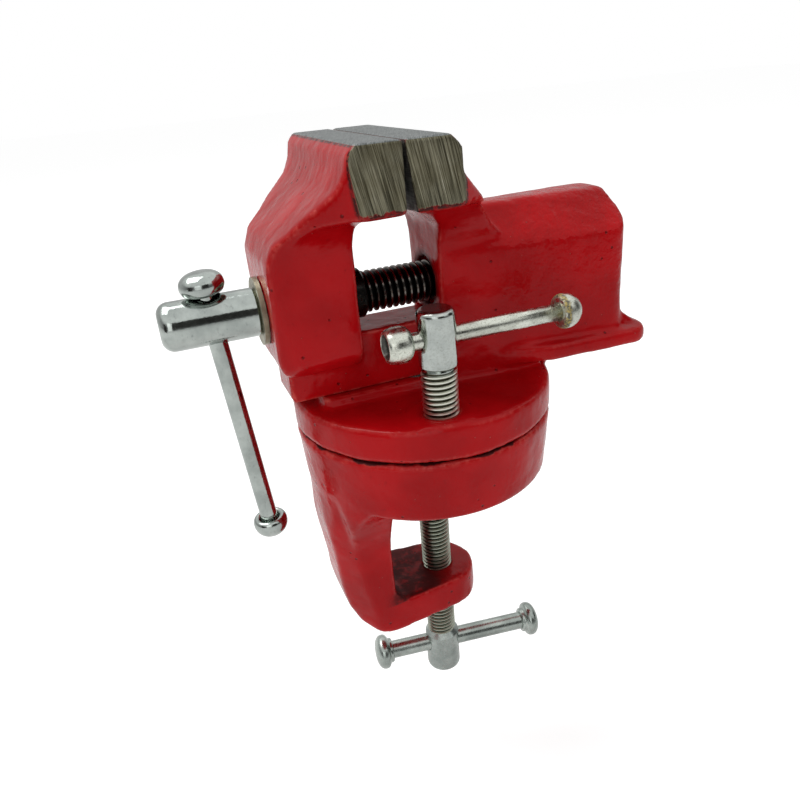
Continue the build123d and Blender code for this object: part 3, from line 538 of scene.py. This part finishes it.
ENAMEL = enamelled_iron()
CHROME = plain(
    "chrome",
    low=(160, 167, 163),
    high=(186, 193, 188),
    rough=(0.07, 0.16),
    streak=(1.2, 1.2, 0.5),
    soil=0.14,
)
GALVANISED = galvanised()
SATIN = plain(
    "satin_steel",
    low=(152, 160, 155),
    high=(184, 192, 186),
    rough=(0.24, 0.32),
    speckle=0.06,
    streak=(1.5, 1.5, 0.6),
    soil=0.1,
)
ZINC = plain(
    "dull_zinc",
    low=(128, 124, 104),
    high=(164, 160, 138),
    rough=(0.34, 0.5),
    speckle=0.5,
    streak=(1.0, 2.0, 2.0),
    soil=0.3,
)
LOCK_STEEL = lock_steel()
CLAMP_STEEL = clamp_steel()
BLACK_THREAD = black_thread()
BLACK = plain(
    "black_steel",
    low=(22, 21, 21),
    high=(46, 44, 43),
    rough=(0.2, 0.42),
    speckle=0.1,
    streak=(1.0, 2.0, 2.0),
)

for name, material in {
    "spindle_nut": BLACK,
    "pivot_bolt": SATIN,
    "pivot_washer": ZINC,
    "spindle_screw": BLACK_THREAD,
    "spindle_head": CHROME,
    "thrust_washer": ZINC,
    "retaining_collar": BLACK,
    "collar_pin": BLACK,
    "spindle_bar": CHROME,
    "lock_screw": LOCK_STEEL,
    "lock_pad": ZINC,
    "clamp_screw": CLAMP_STEEL,
    "clamp_pad": SATIN,
    "clamp_bar": SATIN,
}.items():
    mesh = nodes[name].data
    mesh.materials.clear()
    mesh.materials.append(material)


# Castings, rebuilt in voxels, and left sharp within SOFT_EDGE of the zones that are held true
VOXEL = 0.85
WELD = 0.002
SOFT_EDGE = 1.5

# Lumps of the cast skin as size, seed and share
LUMPS = ((11.0, 3.1, 1.0), (4.5, 7.7, 0.45))

# Height over which the cast skin turns into the jaws' ground band
BAND_BLEND = 3.0


def tube(point, axis, radius, start, end):
    """Distance outside a round zone that runs along axis 0, 1 or 2 between two heights."""
    first, second = [k for k in range(3) if k != axis]

    def outside(co):
        reach = np.hypot(co[:, first] - point[first], co[:, second] - point[second]) - radius
        past = np.maximum(start - co[:, axis], co[:, axis] - end)
        return np.maximum(reach, past)

    return outside


def slab(low, high):
    """Distance outside a box zone."""
    low, high = np.array(low, float), np.array(high, float)

    def outside(co):
        return np.maximum(low - co, co - high).max(axis=1)

    return outside


def relax(co, edges, weight, rounds):
    """Moves every point towards its neighbours, by its weight."""
    first, second = edges.T
    count = len(co)
    degree = np.bincount(first, minlength=count) + np.bincount(second, minlength=count)
    degree = np.maximum(degree, 1)[:, None]
    for _ in range(rounds):
        sums = [
            np.bincount(first, co[second, k], count) + np.bincount(second, co[first, k], count)
            for k in range(3)
        ]
        co = co + 0.5 * weight[:, None] * (np.stack(sums, axis=1) / degree - co)
    return co


def normals_of(mesh, co):
    """Vertex normals of the mesh with its points at co."""
    mesh.vertices.foreach_set("co", co.astype(np.float32).ravel())
    mesh.update()
    flat = np.zeros(len(co) * 3, np.float32)
    mesh.vertex_normals.foreach_get("vector", flat)
    return flat.reshape(-1, 3).astype(float)


def lumpiness(co, size, seed):
    """Smooth noise from -1 to 1 at each point."""
    offset = Vector((seed, seed * 1.7, seed * 2.3))
    return np.array([noise.noise(Vector(p) / size + offset) for p in co])


def voxel_body(node, piece):
    """Object with the node's shape in millimetres, rebuilt in even voxels."""
    bm = bmesh.new()
    bm.from_mesh(nodes[node].data)
    bmesh.ops.scale(bm, vec=(1 / MM,) * 3, verts=bm.verts)
    bmesh.ops.remove_doubles(bm, verts=bm.verts, dist=WELD)
    blank = bpy.data.meshes.new(piece + "_blank")
    bm.to_mesh(blank)
    bm.free()
    obj = bpy.data.objects.new(piece, blank)
    scene.collection.objects.link(obj)
    voxels = obj.modifiers.new("voxels", "REMESH")
    voxels.mode = "VOXEL"
    voxels.voxel_size = VOXEL
    graph = bpy.context.evaluated_depsgraph_get()
    mesh = bpy.data.meshes.new_from_object(obj.evaluated_get(graph))
    mesh.name = piece
    obj.modifiers.clear()
    obj.data = mesh
    bpy.data.meshes.remove(blank)
    return obj


def points_and_edges(mesh):
    """Points of the mesh, and the pairs of them that its edges join."""
    co = np.zeros(len(mesh.vertices) * 3, np.float32)
    mesh.vertices.foreach_get("co", co)
    edges = np.zeros(len(mesh.edges) * 2, np.int64)
    mesh.edges.foreach_get("vertices", edges)
    return co.reshape(-1, 3).astype(float), edges.reshape(-1, 2)


def casting(piece, node, body, held, rounds, lumps, grind, trim):
    """Cast body made from a node: edges softened, skin lumpy, held zones left as they are.

    The jaws' band swells by grind, so that the node's box cuts its top and its ends flat.
    """
    obj = voxel_body(node, piece)
    mesh = obj.data
    co, edges = points_and_edges(mesh)
    clear = np.min([zone(co) for zone in held], axis=0)
    free = np.clip(clear / SOFT_EDGE, 0, 1)
    free = free * free * (3 - 2 * free)
    ground = np.clip((co[:, 2] - JAW_UNDER + BAND_BLEND / 2) / BAND_BLEND, 0, 1)
    co = relax(co, edges, free * (1 - 0.72 * ground), rounds)
    facing = normals_of(mesh, co)
    swell = sum(share * lumps * lumpiness(co, size, seed) for size, seed, share in LUMPS)
    swell = swell * free * (1 - 0.7 * ground) + grind * ground
    co = trim(co + facing * swell[:, None])
    low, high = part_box(node)
    co = np.clip(co, np.array(low) / MM, np.array(high) / MM)
    mesh.vertices.foreach_set("co", (co * MM).astype(np.float32).ravel())
    mesh.polygons.foreach_set("use_smooth", np.ones(len(mesh.polygons), bool))
    mesh.update()
    mesh.materials.clear()
    mesh.materials.append(ENAMEL)
    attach(obj, body)
    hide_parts(node)


def seam_trim(co):
    """Opens the line between the two discs into an uneven groove."""
    reach = np.maximum(np.hypot(co[:, 0], co[:, 1]), 1e-6)
    off = np.abs(co[:, 2] - SEAM_Z)
    wave = lumpiness(co * np.array([1.0, 1.0, 0.0]), 9.0, 5.5)
    depth = (0.9 + 0.8 * wave) * np.clip(1 - off / 1.4, 0, 1) * np.clip((reach - SEAM_INNER_R) / 2.5, 0, 1)
    co[:, :2] *= (1 - depth / reach)[:, None]
    return co


def moving_trim(co):
    """Keeps the moving jaw's gripping face upright and flat."""
    high = co[:, 2] > JAW_UNDER - 1
    co[high, 0] = np.minimum(co[high, 0], MOVING_FACE)
    return co


def fixed_trim(co):
    """Keeps the fixed jaw's gripping face on its backward lean."""
    high = (co[:, 2] > JAW_UNDER - 1) & (co[:, 0] < 0)
    down = np.clip((JAW_TOP - co[:, 2]) / JAW_BAND_H, 0, 1)
    face = FACE_TOP + (FACE_LOW - FACE_TOP) * down
    co[high, 0] = np.maximum(co[high, 0], face[high])
    return seam_trim(co)


# Held: top of the lower disc, its face on the table, the pivot's thread and the clamp screw's
casting(
    "clamp_casting",
    "clamp_base",
    "base",
    held=[
        slab((-50, -50, 17.4), (50, 50, 20)),
        slab((-18, -50, -0.5), (50, 50, 0.5)),
        tube((0, 0, 0), 2, 5.5, 4, 22),
        tube((CLAMP_X, 0, 0), 2, 6.0, -70, -40),
    ],
    rounds=7,
    lumps=0.20,
    grind=0.0,
    trim=seam_trim,
)

# Held: slide bar's channel, spindle nut, spindle's way, lock screw's thread, pivot and disc face
casting(
    "body_casting",
    "fixed_body",
    "vise_body",
    held=[
        slab((-60, -9.4, 30.9), (80, 9.4, 50.4)),
        slab((10, -9.4, 47), (32, 9.4, 67.2)),
        tube((0, 0, SPINDLE_Z), 0, 8.5, -20, 80),
        tube((*LOCK, 0), 2, 6.2, 0, 31),
        tube((0, 0, 0), 2, 9.4, 0, 34),
        slab((-50, -50, 18), (50, 50, 20.6)),
    ],
    rounds=6,
    lumps=0.22,
    grind=0.30,
    trim=fixed_trim,
)

# Held: slide bar and its root, spindle's hole, and the seats of the washer and of the collar
casting(
    "jaw_casting",
    "moving_jaw",
    "jaw",
    held=[
        slab((-21.2, -9, 31), (80, 9, 50)),
        slab((-50, -8.6, 31), (-20, 8.6, 41.4)),
        tube((0, 0, SPINDLE_Z), 0, 7.2, -60, 0),
        tube((0, 0, SPINDLE_Z), 0, 11.4, -60, -43.9),
        tube((0, 0, SPINDLE_Z), 0, 8.4, -22.2, 0),
    ],
    rounds=6,
    lumps=0.18,
    grind=0.30,
    trim=moving_trim,
)


# Turned knobs and the lock bar, as (outwards, radius) points from the middle of each
TOP_KNOB = [
    (-2.95, 2.5), (-3.15, 3.5), (-3.0, 4.5), (-2.4, 5.4), (-1.3, 5.95), (-0.3, 6.05),
    (0.9, 5.75), (1.9, 4.95), (2.65, 3.7), (3.05, 2.0), (3.15, 0.0),
]
LOW_KNOB = [
    (-1.4, 2.55), (-2.2, 2.9), (-2.95, 3.3), (-3.2, 3.9), (-2.95, 4.6), (-2.1, 5.1),
    (-0.9, 5.2), (0.4, 4.95), (1.6, 4.3), (2.6, 3.2), (3.1, 1.7), (3.2, 0.0),
]
CUP_KNOB = [
    (-3.3, 2.35), (-3.5, 2.9), (-3.2, 3.5), (-2.5, 4.3), (-1.4, 4.78), (0.0, 4.9), (1.3, 4.8),
    (2.5, 4.5), (3.2, 4.1), (3.5, 3.65), (3.35, 3.25), (2.5, 2.8), (1.5, 2.5), (1.45, 1.4), (1.4, 0.0),
]
FAR_KNOB = [
    (-3.3, 2.35), (-3.5, 3.2), (-3.3, 4.1), (-2.6, 4.7), (-1.4, 4.9),
    (0.0, 4.7), (1.3, 4.1), (2.4, 3.1), (3.2, 1.7), (3.5, 0.0),
]
BUTTON_KNOB = [
    (-3.0, 3.05), (-3.2, 3.7), (-2.9, 4.25), (-2.2, 4.35), (-1.75, 4.75), (-1.3, 5.5),
    (-0.6, 5.95), (0.5, 6.0), (1.5, 5.6), (2.4, 4.5), (3.0, 2.6), (3.2, 0.0),
]
LOCK_ROD = [
    (-26.65, 0.0), (-26.65, 2.2), (-26.55, 2.38), (-26.2, 2.4),
    (0.0, 2.4), (27.9, 2.4), (27.95, 2.3), (27.95, 0.0),
]


def smooth_profile(points, steps):
    """Points of a smooth line through the given ones, in so many steps from each to the next."""
    points = [Vector(p) for p in points]
    line = []
    for k in range(len(points) - 1):
        before = points[max(k - 1, 0)]
        start, end = points[k], points[k + 1]
        after = points[min(k + 2, len(points) - 1)]
        bend = 2 * before - 5 * start + 4 * end - after
        twist = 3 * start - before - 3 * end + after
        for step in range(steps):
            t = step / steps
            line.append(0.5 * (2 * start + (end - before) * t + bend * t**2 + twist * t**3))
    line.append(points[-1])
    return [(p[0], max(p[1], 0.0)) for p in line]


def turned(piece, node, body, material, bar, along, facing, profile, steps=5, sides=72):
    """Lathe-turned piece on a bar, centred at a distance along it and facing along or against it."""
    origin, direction = bar
    middle = origin + direction * along
    outwards = direction * facing
    side = outwards.orthogonal().normalized()
    third = outwards.cross(side)
    bm = bmesh.new()
    rings = []
    for out, radius in smooth_profile(profile, steps):
        base = middle + outwards * out
        if radius < 1e-4:
            rings.append([bm.verts.new(base * MM)])
            continue
        ring = []
        for k in range(sides):
            angle = 2 * math.pi * k / sides
            spoke = side * math.cos(angle) + third * math.sin(angle)
            ring.append(bm.verts.new((base + spoke * radius) * MM))
        rings.append(ring)
    for lower, upper in zip(rings, rings[1:]):
        for k in range(sides):
            after = (k + 1) % sides
            if len(upper) == 1:
                bm.faces.new((lower[k], lower[after], upper[0]))
            elif len(lower) == 1:
                bm.faces.new((lower[0], upper[after], upper[k]))
            else:
                bm.faces.new((lower[k], lower[after], upper[after], upper[k]))
    for face in bm.faces:
        face.smooth = True
    mesh = bpy.data.meshes.new(piece)
    bm.to_mesh(mesh)
    bm.free()
    mesh.materials.append(material)
    obj = bpy.data.objects.new(piece, mesh)
    scene.collection.objects.link(obj)
    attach(obj, body)
    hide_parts(node)


# Piece, replaced node, body, material, bar, place along it, facing and profile
for knob in (
    ("top_knob", "spindle_knob_top", "spindle_handle", CHROME, SPINDLE_BAR, 10.35, 1, TOP_KNOB),
    ("low_knob", "spindle_knob_low", "spindle_handle", CHROME, SPINDLE_BAR, -68.0, -1, LOW_KNOB),
    ("near_knob", "lock_knob_near", "lock_handle", GALVANISED, LOCK_BAR, -10.8, -1, CUP_KNOB),
    ("far_knob", "lock_knob_far", "lock_handle", GALVANISED, LOCK_BAR, 39.5, 1, FAR_KNOB),
    ("left_button", "clamp_knob_left", "clamp_handle", SATIN, CLAMP_BAR, -22.3, -1, BUTTON_KNOB),
    ("right_button", "clamp_knob_right", "clamp_handle", SATIN, CLAMP_BAR, 33.7, 1, BUTTON_KNOB),
):
    turned(*knob)
turned("lock_rod", "lock_bar", "lock_handle", GALVANISED, LOCK_BAR, 14.35, 1, LOCK_ROD, steps=1)


# Floor and room, in metres
FLOOR_HALF = 6.0
FLOOR_GAP = 0.0005
FLOOR_GREY = 0.8
FLOOR_GLOW = 0.55
FLOOR_IN_METAL = 0.25
ROOM_LIGHT = 0.55
VISE_MIDDLE = Vector((0, 0, 0.03))


def pale_floor():
    """Floor that shows white to the camera and pale in metal, with the object's shadow left on it."""
    material = bpy.data.materials.new("pale_floor")
    material.use_nodes = True
    g = Graph(material.node_tree)
    g.tree.nodes.clear()
    out = g.new("OutputMaterial")
    mixed = g.new("MixShader")
    added = g.new("AddShader")
    matt = g.new("BsdfDiffuse")
    matt.inputs["Color"].default_value = (FLOOR_GREY, FLOOR_GREY, FLOOR_GREY, 1)
    light = g.new("Emission")
    light.inputs["Strength"].default_value = FLOOR_GLOW
    path = g.new("LightPath")
    seen = g.most(path.outputs["Is Camera Ray"], g.times(path.outputs["Is Glossy Ray"], FLOOR_IN_METAL))
    g.put(added.inputs[0], matt.outputs[0])
    g.put(added.inputs[1], light.outputs[0])
    g.put(mixed.inputs[0], seen)
    g.put(mixed.inputs[1], matt.outputs[0])
    g.put(mixed.inputs[2], added.outputs[0])
    g.put(out.inputs[0], mixed.outputs[0])
    return material


def studio_world():
    """White to the camera; metal sees a room light above and behind and dim in front of the vise."""
    world = bpy.data.worlds.new("studio")
    world.use_nodes = True
    g = Graph(world.node_tree)
    g.tree.nodes.clear()
    background = g.new("Background")
    background.inputs["Color"].default_value = (1, 1, 1, 1)
    path = g.new("LightPath")
    split = g.new("SeparateXYZ")
    g.put(split.inputs[0], g.new("TexCoord").outputs["Generated"])
    above = g.ramp(split.outputs["Z"], 0.1, 0.65)
    behind = g.ramp(split.outputs["Y"], -0.5, 0.7, 0.16, 0.6)
    change = g.minus(g.most(above, behind), ROOM_LIGHT)
    level = g.plus(g.times(change, path.outputs["Is Glossy Ray"]), ROOM_LIGHT)
    g.put(background.inputs["Strength"], g.most(path.outputs["Is Camera Ray"], level))
    g.put(g.new("OutputWorld").inputs[0], background.outputs[0])
    return world


def flat_panel(name, half_x, half_y, place):
    """Rectangle of the stage, placed by a matrix."""
    mesh = bpy.data.meshes.new(name)
    corners = [(-half_x, -half_y, 0), (half_x, -half_y, 0), (half_x, half_y, 0), (-half_x, half_y, 0)]
    mesh.from_pydata(corners, [], [(0, 1, 2, 3)])
    obj = bpy.data.objects.new(name, mesh)
    obj.matrix_world = place
    scene.collection.objects.link(obj)
    return obj


def aimed(place):
    """Matrix at the place with its -Z axis towards the vise."""
    place = Vector(place)
    return Matrix.Translation(place) @ (VISE_MIDDLE - place).to_track_quat("-Z", "Y").to_matrix().to_4x4()


def soft_light(name, place, size, level):
    """Square lamp aimed at the vise; a level of 1 lights a white face fully on its own."""
    data = bpy.data.lights.new(name, "AREA")
    data.shape = "SQUARE"
    data.size = size
    distance = (Vector(place) - VISE_MIDDLE).length
    data.energy = level * math.pi**2 * distance**2
    obj = bpy.data.objects.new(name, data)
    obj.matrix_world = aimed(place)
    scene.collection.objects.link(obj)


def dark_card(name, place, half_x, half_y):
    """Dark card seen only in reflections, as beside a photographer's table."""
    material = bpy.data.materials.new(name)
    material.use_nodes = True
    shader = material.node_tree.nodes["Principled BSDF"]
    shader.inputs["Base Color"].default_value = (0.03, 0.028, 0.026, 1)
    shader.inputs["Roughness"].default_value = 0.9
    obj = flat_panel(name, half_x, half_y, aimed(place))
    obj.data.materials.append(material)
    obj.visible_camera = False
    obj.visible_diffuse = False
    obj.visible_shadow = False
    obj.visible_transmission = False


# The floor lies just under the clamp screw let all the way down
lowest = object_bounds()[0].z - CLAMP_DROP * MM
floor = flat_panel("floor", FLOOR_HALF, FLOOR_HALF, Matrix.Translation((0, 0, lowest - FLOOR_GAP)))
floor.data.materials.append(pale_floor())
scene.world = studio_world()
soft_light("overhead", (-0.45, 0.35, 1.1), 0.8, 0.55)
soft_light("front_fill", (-0.5, -1.0, 0.35), 0.7, 0.12)
dark_card("card_front", (0.1, -1.2, 0.45), 0.5, 0.33)
dark_card("card_right", (1.1, -0.3, 0.4), 0.3, 0.4)
dark_card("card_left", (-1.1, -0.5, 0.1), 0.25, 0.35)


# Camera fitted to the picture: place in metres, angles in radians, focal length and centre in its pixels
CAMERA_PLACE = (-0.072806, -0.189757, 0.115153)
YAW = 0.337701
PITCH = 0.421068
ROLL = -0.086583
PICTURE_SIDE = 800
FOCAL = 710.37
CENTRE_X = 402.03
CENTRE_Y = 389.91
SENSOR = 36.0


def fitted_camera():
    """Camera that sees the vise as the picture does."""
    forward = Vector((math.sin(YAW) * math.cos(PITCH), math.cos(YAW) * math.cos(PITCH), -math.sin(PITCH)))
    level_right = Vector((math.cos(YAW), -math.sin(YAW), 0))
    level_up = level_right.cross(forward)
    right = level_right * math.cos(ROLL) + level_up * math.sin(ROLL)
    up = level_up * math.cos(ROLL) - level_right * math.sin(ROLL)
    data = bpy.data.cameras.new("camera")
    data.sensor_width = SENSOR
    data.lens = SENSOR * FOCAL / PICTURE_SIDE
    data.shift_x = (PICTURE_SIDE / 2 - CENTRE_X) / PICTURE_SIDE
    data.shift_y = (CENTRE_Y - PICTURE_SIDE / 2) / PICTURE_SIDE
    data.clip_start = 0.01
    data.clip_end = 50.0
    camera = bpy.data.objects.new("camera", data)
    scene.collection.objects.link(camera)
    turn = Matrix((right, up, -forward)).transposed().to_4x4()
    camera.matrix_world = Matrix.Translation(CAMERA_PLACE) @ turn
    return camera


scene.camera = fitted_camera()
scene.view_settings.view_transform = "Standard"
